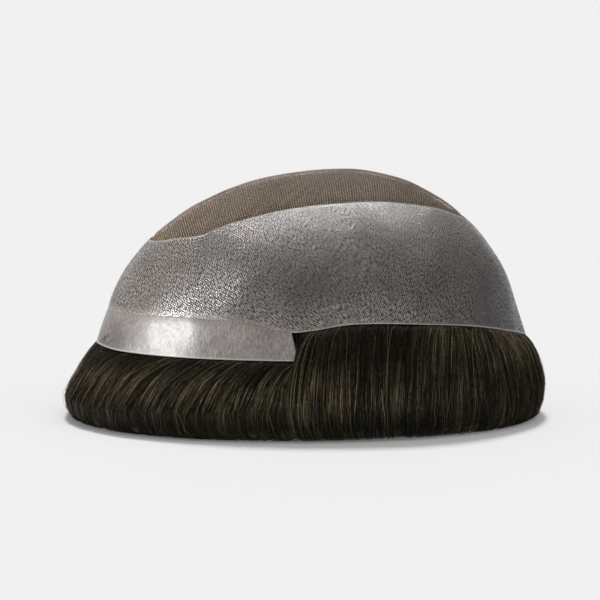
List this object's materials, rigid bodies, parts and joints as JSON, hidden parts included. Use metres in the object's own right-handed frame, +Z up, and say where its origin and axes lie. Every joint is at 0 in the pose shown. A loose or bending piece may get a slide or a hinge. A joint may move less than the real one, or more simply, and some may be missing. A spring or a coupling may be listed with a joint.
{
  "type": "toupee hairpiece",
  "caption": "Hair replacement piece laid inside out: a domed lace and skin base with a clear nape strip, resting on dark hair that curls out and under its hem.",
  "frame": {"origin": "centre of the whole in plan, on the surface that it rests on", "axes": "+X along the length towards the front hairline, +Z up from the rest surface, the nape strip towards -X"},
  "size_m": [0.208, 0.164, 0.1067],
  "materials": {
    "lace_mesh": "fine brown net, matt",
    "skin_film": "thin grey translucent film with dark hair roots, glossy",
    "clear_film": "clear smooth film over dark hair, glossy",
    "hair_fibre": "near-black brown hair with a soft gloss"
  },
  "bodies": {
    "root": {"lace_crown": "lace_mesh", "skin_border": "skin_film", "clear_strip": "clear_film", "crown_hair": "hair_fibre", "hair_roll": "hair_fibre"}
  },
  "joints": []
}
